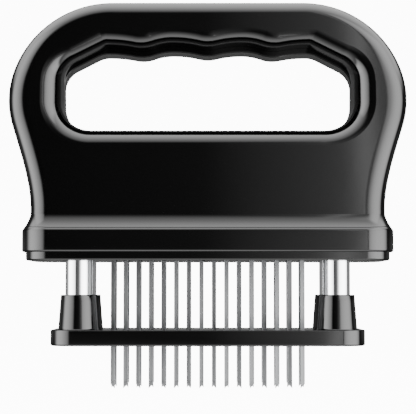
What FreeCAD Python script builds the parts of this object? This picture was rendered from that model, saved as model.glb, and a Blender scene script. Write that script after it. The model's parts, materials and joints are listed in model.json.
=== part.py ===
import FreeCAD, Part
import math
import os

from FreeCAD import Vector

os.makedirs("parts", exist_ok=True)

# A blade tenderizer: a two-shell handle that carries three rows of blades, and a sprung guard that slides
# up the blades on four guide posts. X runs along the handle, Y from front to back and Z upward.
# The origin lies under the middle of the handle, level with the tips of the blades.

# ------------------------------------------------------------ driving sizes, in millimetres and degrees
# Blades
blade_count = 16
row_count = 3
blade_pitch = 4.9
row_pitch = 6.0
blade_width = 1.7
blade_thickness = 0.85
blade_reach = 49.2
tip_angle = 45.0
head_width = 3.0
head_height = 1.5

# Bottom cover, blade carrier and clamp plate
cover_thickness = 3.2
cover_inset = 1.5
cover_edge_radius = 0.8
carrier_thickness = 6.0
carrier_end_margin = 2.4
carrier_side_margin = 4.5
clamp_thickness = 3.0
carrier_clearance = 0.3
blade_seat_clearance = 0.05
cover_slot_clearance = 0.15

# Guide posts, collars and bushes
post_end_margin = 12.85
post_side_margin = 6.5
post_radius = 5.0
post_wall = 0.8
post_seat_clearance = 0.02
collar_width = 0.7
collar_thickness = 2.5
neck_depth = 0.3
bush_wall = 1.2
bush_flange_width = 0.8
bush_flange_thickness = 1.0
bush_running_clearance = 0.05
bore_clearance = 0.2
bore_end_clearance = 0.5
travel_up = 12.8
travel_down = 18.5
stop_clearance = 0.1

# Return springs
spring_clearance = 0.35
spring_wire = 0.8
spring_end_gap = 0.1
spring_turns = 9
spring_sides = 8

# Guard plate and its four towers
guard_end_margin = 10.7
guard_side_margin = 8.5
guard_corner_radius = 9.2
guard_thickness = 6.1
guard_edge_radius = 0.8
guard_top_edge_radius = 0.4
guard_slot_clearance = 0.25
blade_exposure = 16.7
tower_height = 13.4
tower_wall = 1.7
tower_draft = 1.0
tower_edge_radius = 0.4
post_floor = 3.0

# Flange at the foot of the handle
flange_end_margin = 21.5
flange_side_margin = 13.0
flange_height = 8.7
flange_corner_radius = 11.0
flange_edge_radius = 1.0
flange_top_edge_radius = 0.8
flare_width = 3.3
flare_radius = 6.4

# Handle, seen from the front
grip_overhang = 9.4
crown_radius = 40.4
cheek_radius = 34.2
crown_angle = 24.3
cheek_angle = 16.9
waist_height = 7.5
waist_ease = 0.31
bar_height = 18.55
grip_half_depth = 16.5
grip_level = 77.6
rim_radius = 5.4
rim_land = 0.2

# Hand opening
opening_floor_wall = 11.8
opening_side_wall = 20.35
opening_height = 30.4
floor_corner_radius = 11.4
shoulder_corner_radius = 9.1
shoulder_drop = 7.6
shoulder_angle = 26.9
inner_scallop_depth = 1.6
outer_ridge_drop = 0.5
outer_scallop_depth = 1.3
inner_scallop_place = 13.5
outer_ridge_place = 25.9
outer_scallop_place = 39.2
ridge_radius = 15.0

# Screws
cover_screw_end_inset = 8.2
cover_screw_side_inset = 8.5
cover_screw_middle_inset = 6.0
cover_screw_shank_radius = 1.4
cover_screw_head_radius = 2.6
cover_screw_head_height = 1.6
cover_screw_recess = 0.3
cover_screw_length = 9.0
clamp_screw_pitch_count = 4
clamp_screw_shank_radius = 1.2
clamp_screw_head_radius = 2.2
clamp_screw_head_height = 1.4
clamp_screw_length = 6.5
screw_clearance = 0.05
drive_slot_width = 0.8
drive_slot_depth = 0.7

# ------------------------------------------------------------ levels, from the tips of the blades up
guard_bottom = blade_exposure
guard_top = guard_bottom + guard_thickness
tower_top = guard_top + tower_height
post_foot = guard_bottom + post_floor
cover_bottom = blade_reach
cover_top = cover_bottom + cover_thickness
carrier_top = cover_top + carrier_thickness
heads_top = carrier_top + head_height
clamp_top = heads_top + clamp_thickness
bush_top = cover_top + bush_flange_thickness
collar_bottom = bush_top + travel_down + stop_clearance
collar_top = collar_bottom + collar_thickness
bore_ceiling = collar_top + travel_up + bore_end_clearance
flange_top = cover_top + flange_height
flare_height = math.sqrt(flare_radius**2 - (flare_radius - flare_width) ** 2)
neck_level = flange_top + flare_height
ledge_level = neck_level - flare_radius
waist_level = flange_top + waist_height
floor_level = bore_ceiling + opening_floor_wall
middle_ridge_level = floor_level + opening_height
inner_scallop_level = middle_ridge_level + inner_scallop_depth
outer_ridge_level = middle_ridge_level - outer_ridge_drop
outer_scallop_level = outer_ridge_level + outer_scallop_depth
shoulder_level = outer_scallop_level - shoulder_drop
crown_level = inner_scallop_level + bar_height

# ------------------------------------------------------------ places and radii, from the rows of blades out
row_half_length = (blade_count - 1) * blade_pitch / 2
row_half_gap = (row_count - 1) * row_pitch / 2
carrier_half_width = row_half_length + carrier_end_margin
carrier_half_depth = row_half_gap + carrier_side_margin
post_half_spacing = row_half_length + post_end_margin
post_half_gap = row_half_gap + post_side_margin
post_bore_radius = post_radius - post_wall
collar_radius = post_radius + collar_width
bore_radius = collar_radius + bore_clearance
bush_bore_radius = post_radius + bush_running_clearance
bush_sleeve_radius = bush_bore_radius + bush_wall
bush_flange_radius = bush_sleeve_radius + bush_flange_width
spring_radius = post_bore_radius - spring_clearance - spring_wire / 2
guard_half_width = post_half_spacing + guard_end_margin
guard_half_depth = post_half_gap + guard_side_margin
tower_top_radius = post_radius + tower_wall
tower_foot_radius = tower_top_radius + tower_draft
flange_half_width = post_half_spacing + flange_end_margin
flange_half_depth = post_half_gap + flange_side_margin
neck_half_width = flange_half_width - flare_width
neck_half_depth = flange_half_depth - flare_width
handle_half_width = neck_half_width + grip_overhang
opening_half_width = handle_half_width - opening_side_wall
reach_out = 2 * handle_half_width

corners = {
    "left_front": (-post_half_spacing, -post_half_gap),
    "right_front": (post_half_spacing, -post_half_gap),
    "left_rear": (-post_half_spacing, post_half_gap),
    "right_rear": (post_half_spacing, post_half_gap),
}
cover_screw_x = flange_half_width - cover_screw_end_inset
cover_screw_places = []
for side in (-1, 1):
    end_y = side * (flange_half_depth - cover_screw_side_inset)
    middle_y = side * (flange_half_depth - cover_screw_middle_inset)
    cover_screw_places += [(-cover_screw_x, end_y), (0, middle_y), (cover_screw_x, end_y)]
clamp_screw_x = clamp_screw_pitch_count * blade_pitch
clamp_screw_places = [(side * clamp_screw_x, end * row_pitch / 2) for side in (-1, 1) for end in (-1, 1)]


# ------------------------------------------------------------ shapes used by several pieces
def box(half_width, half_depth, bottom, top):
    """A block centred on the Z axis."""
    corner = Vector(-half_width, -half_depth, bottom)
    return Part.makeBox(2 * half_width, 2 * half_depth, top - bottom, corner)


def cylinder(radius, bottom, top, place=(0, 0)):
    return Part.makeCylinder(radius, top - bottom, Vector(place[0], place[1], bottom))


def tube(outer, inner, bottom, top, place=(0, 0)):
    return cylinder(outer, bottom, top, place).cut(cylinder(inner, bottom, top, place))


def rounded_rectangle(half_width, half_depth, radius, level):
    """A closed wire in a level plane: four straight sides joined by quarter arcs."""
    edges = []
    inner_x = half_width - radius
    inner_y = half_depth - radius
    for quarter, (x, y) in enumerate([(1, 1), (-1, 1), (-1, -1), (1, -1)]):
        circle = Part.Circle(Vector(x * inner_x, y * inner_y, level), Vector(0, 0, 1), radius)
        start = quarter * math.pi / 2
        edges.append(circle.toShape(start, start + math.pi / 2))
    sides = []
    for first, second in zip(edges, edges[1:] + edges[:1]):
        begin = first.valueAt(first.LastParameter)
        end = second.valueAt(second.FirstParameter)
        sides.append(Part.LineSegment(begin, end).toShape())
    return Part.Wire(Part.__sortEdges__(edges + sides))


def rounded_plate(half_width, half_depth, radius, bottom, top):
    face = Part.Face(rounded_rectangle(half_width, half_depth, radius, bottom))
    return face.extrude(Vector(0, 0, top - bottom))


def round_level_edges(solid, radius, levels):
    """Rounds the outer edges that lie in the given levels."""
    chosen = []
    for edge in solid.Edges:
        bounds = edge.BoundBox
        flat = bounds.ZLength < radius / 100
        at_level = min(abs(bounds.ZMin - level) for level in levels) < radius / 100
        if flat and at_level:
            chosen.append(edge)
    return solid.makeFillet(radius, chosen)


def blade_places(row):
    """The places of one row's blades, from left to right."""
    y = (row - (row_count - 1) / 2) * row_pitch
    return [((number - (blade_count - 1) / 2) * blade_pitch, y) for number in range(blade_count)]


def all_blade_places():
    return [place for row in range(row_count) for place in blade_places(row)]


def slot_cutters(clearance, bottom, top):
    """One upright slot for every blade, with the same clearance all round."""
    half_width = blade_width / 2 + clearance
    half_depth = blade_thickness / 2 + clearance
    cutters = []
    for x, y in all_blade_places():
        cutter = box(half_width, half_depth, bottom, top)
        cutter.translate(Vector(x, y, 0))
        cutters.append(cutter)
    return Part.makeCompound(cutters)


# ------------------------------------------------------------ handle
def arc(x, z, radius, first_angle, last_angle):
    """An arc in the upright middle plane, by its centre and its first and last angles."""
    points = []
    for angle in (first_angle, (first_angle + last_angle) / 2, last_angle):
        turned = math.radians(angle)
        points.append(Vector(x + radius * math.cos(turned), 0, z + radius * math.sin(turned)))
    return Part.Arc(*points).toShape()


def line(first, second):
    return Part.LineSegment(first, second).toShape()


def closed_outline(right_half):
    """A closed wire from the edges of its right half and their mirror images."""
    left_half = [edge.mirror(Vector(0, 0, 0), Vector(1, 0, 0)) for edge in right_half]
    return Part.Wire(Part.__sortEdges__(right_half + left_half))


def handle_outline():
    """The outer outline: a flat crown, two arcs for each cheek, and an easy curve down to the waist."""
    turned = math.radians(crown_angle)
    cheek_x = handle_half_width - cheek_radius
    crown_x = cheek_x - (crown_radius - cheek_radius) * math.cos(turned)
    crown_z = crown_level - crown_radius
    cheek_z = crown_z + (crown_radius - cheek_radius) * math.sin(turned)
    crown = arc(crown_x, crown_z, crown_radius, 90, crown_angle)
    cheek = arc(cheek_x, cheek_z, cheek_radius, crown_angle, -cheek_angle)
    cheek_end = cheek.valueAt(cheek.LastParameter)
    waist = Vector(neck_half_width, 0, waist_level)
    ease = waist_ease * (waist - cheek_end).Length
    leaving = Vector(-math.sin(math.radians(cheek_angle)), 0, -math.cos(math.radians(cheek_angle)))
    curve = Part.BezierCurve()
    curve.setPoles([cheek_end, cheek_end + leaving * ease, waist + Vector(0, 0, ease), waist])
    foot = Vector(neck_half_width, 0, ledge_level)
    right_half = [
        line(Vector(0, 0, crown_level), Vector(crown_x, 0, crown_level)),
        crown,
        cheek,
        curve.toShape(),
        line(waist, foot),
        line(foot, Vector(0, 0, ledge_level)),
    ]
    return closed_outline(right_half)


def finger_wave(ridge, scallop):
    """Two arcs from a ridge to a scallop, level at both ends and smooth where they meet."""
    run = abs(scallop.x - ridge.x)
    rise = scallop.z - ridge.z
    turn = 2 * math.atan2(rise, run)
    scallop_radius = run / math.sin(turn) - ridge_radius
    side = 1 if scallop.x > ridge.x else -1
    degrees = math.degrees(turn)
    ridge_arc = arc(ridge.x, ridge.z + ridge_radius, ridge_radius, -90, -90 + side * degrees)
    scallop_arc = arc(scallop.x, scallop.z - scallop_radius, scallop_radius, 90 + side * degrees, 90)
    return [ridge_arc, scallop_arc]


def opening_outline():
    """The hand opening: a flat floor, round corners, and four finger scallops under the bar."""
    middle_ridge = Vector(0, 0, middle_ridge_level)
    inner_scallop = Vector(inner_scallop_place, 0, inner_scallop_level)
    outer_ridge = Vector(outer_ridge_place, 0, outer_ridge_level)
    outer_scallop = Vector(outer_scallop_place, 0, outer_scallop_level)
    waves = finger_wave(middle_ridge, inner_scallop)
    waves += finger_wave(outer_ridge, inner_scallop)
    waves += finger_wave(outer_ridge, outer_scallop)

    slope = math.radians(shoulder_angle)
    sharp_corner = Vector(opening_half_width, 0, shoulder_level)
    sharp_top = sharp_corner + Vector(-shoulder_drop / math.tan(slope), 0, shoulder_drop)
    top_radius = (sharp_top.x - outer_scallop.x) / math.tan(slope / 2)
    top_arc = arc(outer_scallop.x, outer_scallop.z - top_radius, top_radius, 90, 90 - shoulder_angle)
    corner_side = shoulder_corner_radius * math.tan((math.pi / 2 - slope) / 2)
    corner_arc = arc(
        sharp_corner.x - shoulder_corner_radius,
        sharp_corner.z - corner_side,
        shoulder_corner_radius,
        90 - shoulder_angle,
        0,
    )
    floor_arc = arc(
        opening_half_width - floor_corner_radius,
        floor_level + floor_corner_radius,
        floor_corner_radius,
        0,
        -90,
    )
    right_half = waves + [
        top_arc,
        line(top_arc.valueAt(top_arc.LastParameter), corner_arc.valueAt(corner_arc.FirstParameter)),
        corner_arc,
        line(corner_arc.valueAt(corner_arc.LastParameter), floor_arc.valueAt(floor_arc.FirstParameter)),
        floor_arc,
        line(floor_arc.valueAt(floor_arc.LastParameter), Vector(0, 0, floor_level)),
    ]
    return closed_outline(right_half)


def leaning_half_depth(level):
    """Half the depth of the grip at a level: its front and back faces lean towards each other."""
    lean = (neck_half_depth - grip_half_depth) / (cover_top + grip_level - neck_level)
    return neck_half_depth - lean * (level - neck_level)


def grip_half():
    """The front half of the grip: its outline is cut to a leaning front face, then its rims are rounded.

    Where the wall between the two outlines is thin, the rims are rounded less and a narrow land stays.
    """
    wall = handle_outline().distToShape(opening_outline())[0]
    rounding = min(rim_radius, wall / 2 - rim_land)
    depth = neck_half_depth + rim_radius
    block = Part.Face(handle_outline()).extrude(Vector(0, -depth, 0))
    hole = Part.Face(opening_outline()).extrude(Vector(0, -depth, 0))
    side_profile = Part.makePolygon([
        Vector(-reach_out, 0, ledge_level),
        Vector(-reach_out, -leaning_half_depth(ledge_level), ledge_level),
        Vector(-reach_out, -leaning_half_depth(crown_level), crown_level),
        Vector(-reach_out, 0, crown_level),
        Vector(-reach_out, 0, ledge_level),
    ])
    wedge = Part.Face(side_profile).extrude(Vector(2 * reach_out, 0, 0))
    grip = block.cut(hole).common(wedge)
    rims = []
    for edge in grip.Edges:
        in_front = edge.BoundBox.YMax < -leaning_half_depth(crown_level) / 2
        above_foot = edge.BoundBox.ZMax > ledge_level + rim_radius / 2
        if in_front and above_foot:
            rims.append(edge)
    return grip.makeFillet(rounding, rims)


def flared_foot(grip):
    """Stands the grip on its flange: a wide ledge, a hollow flare all round, then the flange's outline."""
    ledge_corner = Vector(-reach_out, -reach_out, cover_top)
    ledge = Part.makeBox(2 * reach_out, reach_out, ledge_level - cover_top, ledge_corner)
    body = grip.fuse(ledge).removeSplitter()
    hollows = []
    for edge in body.Edges:
        bounds = edge.BoundBox
        at_ledge = abs(bounds.ZMin - ledge_level) + abs(bounds.ZMax - ledge_level) < flare_radius / 100
        at_foot = bounds.XLength < 2 * handle_half_width and -reach_out / 2 < bounds.YMin < -flare_width
        if at_ledge and at_foot:
            hollows.append(edge)
    body = body.makeFillet(flare_radius, hollows)
    outline = rounded_plate(
        flange_half_width, flange_half_depth, flange_corner_radius, cover_top, neck_level)
    surplus = box(2 * reach_out, 2 * reach_out, cover_top, neck_level).cut(outline)
    return body.cut(surplus)


def round_flange(body):
    """Rounds both outer edges of the flange, and leaves the edge of the joint between the shells."""
    near = flange_edge_radius / 100

    def at_foot(bounds):
        on_joint = abs(bounds.YMin) < near
        return abs(bounds.ZMax - cover_top) < near and not on_joint

    def at_top(bounds):
        in_front = abs(bounds.YMin + flange_half_depth) < near
        return in_front and bounds.ZMin > flange_top - near

    for radius, chosen in ((flange_edge_radius, at_foot), (flange_top_edge_radius, at_top)):
        rims = [edge for edge in body.Edges if chosen(edge.BoundBox)]
        body = body.makeFillet(radius, rims)
    return body


def front_shell():
    shell = round_flange(flared_foot(grip_half()))
    pocket_half_width = carrier_half_width + carrier_clearance
    pocket_half_depth = carrier_half_depth + carrier_clearance
    shell = shell.cut(box(pocket_half_width, pocket_half_depth, cover_top, clamp_top))
    for x, y in corners.values():
        shell = shell.cut(cylinder(bore_radius, cover_top, bore_ceiling, (x, y)))
        shell = shell.cut(cylinder(bush_flange_radius + screw_clearance, cover_top, bush_top, (x, y)))
    pilot_top = cover_bottom + cover_screw_recess + cover_screw_head_height + cover_screw_length
    for place in cover_screw_places:
        shell = shell.cut(cylinder(cover_screw_shank_radius, cover_top, pilot_top, place))
    return shell


# ------------------------------------------------------------ cover, carrier and clamp plate
def bottom_cover():
    """The plate under the flange, with a slot for each blade and seats for bushes and screws."""
    plate = rounded_plate(
        flange_half_width - cover_inset,
        flange_half_depth - cover_inset,
        flange_corner_radius - cover_inset,
        cover_bottom,
        cover_top,
    )
    plate = round_level_edges(plate, cover_edge_radius, (cover_bottom,))
    plate = plate.cut(slot_cutters(cover_slot_clearance, cover_bottom, cover_top))
    for place in corners.values():
        plate = plate.cut(cylinder(bush_sleeve_radius + post_seat_clearance, cover_bottom, cover_top, place))
    seat_level = cover_bottom + cover_screw_recess + cover_screw_head_height
    for place in cover_screw_places:
        shank_hole = cylinder(cover_screw_shank_radius + screw_clearance, cover_bottom, cover_top, place)
        head_hole = cylinder(cover_screw_head_radius + screw_clearance, cover_bottom, seat_level, place)
        plate = plate.cut(shank_hole).cut(head_hole)
    return plate


def blade_carrier():
    """The block that holds the blades by their heads."""
    block = box(carrier_half_width, carrier_half_depth, cover_top, carrier_top)
    block = block.cut(slot_cutters(blade_seat_clearance, cover_top, carrier_top))
    thread_bottom = clamp_top - clamp_screw_head_height - clamp_screw_length
    for place in clamp_screw_places:
        block = block.cut(cylinder(clamp_screw_shank_radius, thread_bottom, carrier_top, place))
    return block


def clamp_plate():
    """The plate that lies on the heads of the blades and is screwed down to the carrier."""
    plate = box(carrier_half_width, carrier_half_depth, heads_top, clamp_top)
    seat_level = clamp_top - clamp_screw_head_height
    for place in clamp_screw_places:
        shank_hole = cylinder(clamp_screw_shank_radius + screw_clearance, heads_top, clamp_top, place)
        head_hole = cylinder(clamp_screw_head_radius + screw_clearance, seat_level, clamp_top, place)
        plate = plate.cut(shank_hole).cut(head_hole)
    return plate


def screw(shank_radius, head_radius, head_height, shank_length):
    """A cross-slotted screw with its head at the bottom, its head's outer face in the level plane."""
    head = cylinder(head_radius, 0, head_height)
    shank = cylinder(shank_radius, head_height, head_height + shank_length)
    slot = box(head_radius / 2, drive_slot_width / 2, 0, drive_slot_depth)
    cross_slot = box(drive_slot_width / 2, head_radius / 2, 0, drive_slot_depth)
    return head.fuse(shank).cut(slot).cut(cross_slot).removeSplitter()


def cover_screws():
    pattern = screw(
        cover_screw_shank_radius, cover_screw_head_radius, cover_screw_head_height, cover_screw_length)
    placed = []
    for x, y in cover_screw_places:
        placed.append(pattern.translated(Vector(x, y, cover_bottom + cover_screw_recess)))
    return Part.makeCompound(placed)


def clamp_screws():
    pattern = screw(
        clamp_screw_shank_radius, clamp_screw_head_radius, clamp_screw_head_height, clamp_screw_length)
    pattern.rotate(Vector(0, 0, 0), Vector(1, 0, 0), 180)
    placed = [pattern.translated(Vector(x, y, clamp_top)) for x, y in clamp_screw_places]
    return Part.makeCompound(placed)


# ------------------------------------------------------------ blades
def blade(x, y, low_side):
    """A flat blade with a chisel tip and a T-shaped head. low_side is the side of its point."""
    half = blade_width / 2
    half_head = head_width / 2
    rise = blade_width * math.tan(math.radians(tip_angle))
    section = [
        (low_side * half, 0),
        (-low_side * half, rise),
        (-low_side * half, carrier_top),
        (-low_side * half_head, carrier_top),
        (-low_side * half_head, heads_top),
        (low_side * half_head, heads_top),
        (low_side * half_head, carrier_top),
        (low_side * half, carrier_top),
        (low_side * half, 0),
    ]
    points = [Vector(x + across, y - blade_thickness / 2, level) for across, level in section]
    return Part.Face(Part.makePolygon(points)).extrude(Vector(0, blade_thickness, 0))


def blade_row(row):
    """One row of blades, their points turned left and right in turn."""
    blades = []
    for number, (x, y) in enumerate(blade_places(row)):
        low_side = 1 if (number + row) % 2 == 0 else -1
        blades.append(blade(x, y, low_side))
    return Part.makeCompound(blades)


# ------------------------------------------------------------ guard
def guard_plate():
    """The sliding guard: a slotted plate with a tapered tower for each guide post."""
    plate = rounded_plate(
        guard_half_width, guard_half_depth, guard_corner_radius, guard_bottom, guard_top)
    plate = round_level_edges(plate, guard_edge_radius, (guard_bottom,))
    plate = round_level_edges(plate, guard_top_edge_radius, (guard_top,))
    plate = plate.cut(slot_cutters(guard_slot_clearance, guard_bottom, guard_top))
    for x, y in corners.values():
        tower = Part.makeCone(
            tower_foot_radius, tower_top_radius, tower_height, Vector(x, y, guard_top))
        tower = round_level_edges(tower, tower_edge_radius, (tower_top,))
        plate = plate.fuse(tower)
    for place in corners.values():
        plate = plate.cut(cylinder(post_radius + post_seat_clearance, post_foot, tower_top, place))
    return plate


def guide_post(place):
    """A tube that stands in its tower, with a thinner neck at the top for its collar."""
    body = tube(post_radius, post_bore_radius, post_foot, collar_bottom, place)
    neck = tube(post_radius - neck_depth, post_bore_radius, collar_bottom, collar_top, place)
    return body.fuse(neck)


def post_collar(place):
    inner = post_radius - neck_depth + post_seat_clearance
    return tube(collar_radius, inner, collar_bottom, collar_top, place)


def guide_bush(place):
    sleeve = tube(bush_sleeve_radius, bush_bore_radius, cover_bottom, cover_top, place)
    collar = tube(bush_flange_radius, bush_bore_radius, cover_top, bush_top, place)
    return sleeve.fuse(collar).removeSplitter()


def spring_level(turn):
    """The height of the wire's middle after so many turns: close-wound at both ends, open between."""
    low = post_foot + spring_wire / 2
    high = bore_ceiling - spring_wire / 2
    close_pitch = spring_wire + spring_end_gap
    open_pitch = (high - low - 2 * close_pitch) / (spring_turns - 2)
    if turn < 1:
        return low + close_pitch * turn
    if turn > spring_turns - 1:
        return high - close_pitch * (spring_turns - turn)
    return low + close_pitch + open_pitch * (turn - 1)


def return_spring(place):
    """A coil spring inside its post, from the tower's floor to the top of the bore in the handle."""
    rings = []
    for step in range(spring_turns * spring_sides + 1):
        angle = 2 * math.pi * step / spring_sides
        level = spring_level(step / spring_sides)
        ring = []
        for outward, upward in ((-1, -1), (1, -1), (1, 1), (-1, 1)):
            radius = spring_radius + outward * spring_wire / 2
            x = place[0] + radius * math.cos(angle)
            y = place[1] + radius * math.sin(angle)
            ring.append(Vector(x, y, level + upward * spring_wire / 2))
        rings.append(ring)

    def face(*points):
        return Part.Face(Part.makePolygon(list(points) + [points[0]]))

    faces = [face(*rings[0]), face(*reversed(rings[-1]))]
    for lower, upper in zip(rings, rings[1:]):
        for side in range(4):
            following = (side + 1) % 4
            faces.append(face(lower[side], lower[following], upper[following]))
            faces.append(face(lower[side], upper[following], upper[side]))
    spring = Part.Solid(Part.Shell(faces))
    if spring.Volume < 0:
        spring.reverse()
    return spring


# ------------------------------------------------------------ the assembly
front = front_shell()
nodes = {
    "handle_front_shell": front,
    "handle_rear_shell": front.mirror(Vector(0, 0, 0), Vector(0, 1, 0)),
    "bottom_cover": bottom_cover(),
    "blade_carrier": blade_carrier(),
    "clamp_plate": clamp_plate(),
    "clamp_screws": clamp_screws(),
    "cover_screws": cover_screws(),
    "blades_front_row": blade_row(0),
    "blades_middle_row": blade_row(1),
    "blades_rear_row": blade_row(2),
    "guard_plate": guard_plate(),
}
for corner_name, corner_place in corners.items():
    nodes["guide_bush_" + corner_name] = guide_bush(corner_place)
    nodes["guide_post_" + corner_name] = guide_post(corner_place)
    nodes["post_collar_" + corner_name] = post_collar(corner_place)
    nodes["return_spring_" + corner_name] = return_spring(corner_place)

for name, shape in nodes.items():
    shape.exportStep("parts/" + name + ".step")
    print(name, len(shape.Solids), "solids", round(shape.Volume, 1), "mm3", shape.isValid())
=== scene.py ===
import json
import math

import bmesh
import bpy
import numpy as np
from bpy.props import FloatProperty, FloatVectorProperty, IntProperty, PointerProperty
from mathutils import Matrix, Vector

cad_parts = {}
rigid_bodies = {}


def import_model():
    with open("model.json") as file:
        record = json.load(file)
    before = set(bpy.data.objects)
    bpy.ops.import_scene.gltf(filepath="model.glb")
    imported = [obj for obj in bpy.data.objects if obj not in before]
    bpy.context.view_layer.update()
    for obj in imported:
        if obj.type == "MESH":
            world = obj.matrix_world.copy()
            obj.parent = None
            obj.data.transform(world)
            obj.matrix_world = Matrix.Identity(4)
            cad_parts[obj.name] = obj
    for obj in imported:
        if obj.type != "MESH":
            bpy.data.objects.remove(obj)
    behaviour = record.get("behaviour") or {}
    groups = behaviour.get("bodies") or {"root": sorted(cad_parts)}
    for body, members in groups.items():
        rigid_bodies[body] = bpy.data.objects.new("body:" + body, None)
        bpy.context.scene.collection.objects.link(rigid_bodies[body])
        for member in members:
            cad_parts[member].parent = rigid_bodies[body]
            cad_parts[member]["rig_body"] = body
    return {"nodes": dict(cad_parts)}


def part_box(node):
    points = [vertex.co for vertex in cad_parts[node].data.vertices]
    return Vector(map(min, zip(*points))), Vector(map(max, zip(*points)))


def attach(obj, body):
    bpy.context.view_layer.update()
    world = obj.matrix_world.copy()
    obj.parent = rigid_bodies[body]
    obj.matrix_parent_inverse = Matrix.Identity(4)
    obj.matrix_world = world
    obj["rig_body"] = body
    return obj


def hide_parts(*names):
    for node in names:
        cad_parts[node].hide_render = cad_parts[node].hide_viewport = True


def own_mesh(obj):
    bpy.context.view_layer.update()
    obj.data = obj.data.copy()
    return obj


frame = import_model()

bl_info = {
    "name": "Blade tenderizer",
    "version": (1, 0, 0),
    "blender": (4, 5, 0),
    "location": "3D View > Sidebar > Tenderizer",
    "description": "Dresses the packed blade tenderizer and stands it in a small studio",
    "category": "Add Mesh",
}

MM = 0.001
CORNERS = ("left_front", "right_front", "left_rear", "right_rear")

# how fine the meshes are, and the angles in degrees at which their edges stay sharp or flat faces join
SMOOTH_ANGLE = 30.0
FLAT_ANGLE = 0.05
JOIN_DISTANCE = 0.001 * MM
REVOLVE_COLUMNS = 72


# ---- meshes from arrays of points
def grid_cells(rows, columns, wrap_rows=False, wrap_columns=True):
    """The cells of a grid of points as four indices each, all in the same turning sense."""
    index = np.arange(rows * columns).reshape(rows, columns)
    if wrap_rows:
        index = np.vstack([index, index[:1]])
    if wrap_columns:
        index = np.hstack([index, index[:, :1]])
    cells = [index[:-1, :-1], index[:-1, 1:], index[1:, 1:], index[1:, :-1]]
    return np.stack(cells, axis=-1).reshape(-1, 4)


def enclosed_volume(points, faces):
    """The sum of the tetrahedra from the origin to each triangle of each face's fan."""
    total = 0.0
    for block in faces:
        first = points[block[:, 0]]
        for corner in range(1, block.shape[1] - 1):
            second, third = points[block[:, corner]], points[block[:, corner + 1]]
            total += float((first * np.cross(second, third)).sum()) / 6
    return total


def closed_skin(grid, wrap_rows=False):
    """A closed surface from rows of points that run round it, with flat ends unless the rows wrap too.

    Returns its points and its faces, as arrays of equal-sided faces that all look outward.
    """
    rows, columns = grid.shape[:2]
    points = grid.reshape(-1, 3)
    faces = [grid_cells(rows, columns, wrap_rows)]
    if not wrap_rows:
        ring = np.arange(columns)
        faces.append(np.stack([ring[::-1], ring + (rows - 1) * columns]))
    if enclosed_volume(points - points.mean(axis=0), faces) < 0:
        faces = [block[:, ::-1] for block in faces]
    return points, faces


def smooth(mesh, angle=SMOOTH_ANGLE):
    """Makes a mesh smooth but for edges that turn by more than the angle."""
    mesh.polygons.foreach_set("use_smooth", np.ones(len(mesh.polygons), dtype=bool))
    mesh.set_sharp_from_angle(angle=math.radians(angle))


def make_mesh(name, skins, smooth_angle=SMOOTH_ANGLE):
    """One smooth mesh from several closed surfaces."""
    points = np.concatenate([skin_points for skin_points, _ in skins])
    faces, start = [], 0
    for skin_points, skin_faces in skins:
        for block in skin_faces:
            faces.extend((block + start).tolist())
        start += len(skin_points)
    mesh = bpy.data.meshes.new(name)
    mesh.from_pydata(points.tolist(), [], faces)
    smooth(mesh, smooth_angle)
    mesh.update()
    return mesh


def stand(name, data):
    """A new object in the scene."""
    made = bpy.data.objects.new(name, data)
    bpy.context.scene.collection.objects.link(made)
    return made


def add_piece(name, mesh, body, material, nodes=()):
    """Stands a finished mesh in the scene, on its body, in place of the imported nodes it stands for."""
    piece = stand(name, mesh)
    mesh.materials.clear()
    mesh.materials.append(material)
    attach(piece, body)
    if nodes:
        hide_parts(*nodes)
    return piece


def merged_copy(node):
    """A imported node's mesh with its loose triangles joined and its curved faces smooth."""
    work = bmesh.new()
    work.from_mesh(frame["nodes"][node].data)
    bmesh.ops.remove_doubles(work, verts=work.verts, dist=JOIN_DISTANCE)
    bmesh.ops.dissolve_limit(
        work, angle_limit=math.radians(FLAT_ANGLE), verts=work.verts, edges=work.edges)
    mesh = bpy.data.meshes.new(node + "_dressed")
    work.to_mesh(mesh)
    work.free()
    smooth(mesh)
    return mesh


def revolve(profile, place):
    """A closed profile of (radius, height) pairs carried round an upright axis."""
    angle = np.linspace(0, 2 * math.pi, REVOLVE_COLUMNS, endpoint=False)
    radius, height = np.asarray(profile, dtype=float).T
    x = place[0] + radius[:, None] * np.cos(angle)
    y = place[1] + radius[:, None] * np.sin(angle)
    z = np.broadcast_to(height[:, None], x.shape)
    return closed_skin(np.stack([x, y, z], axis=-1), wrap_rows=True)


def body_axis(node):
    """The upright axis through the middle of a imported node."""
    low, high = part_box(node)
    return (low.x + high.x) / 2, (low.y + high.y) / 2


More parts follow.
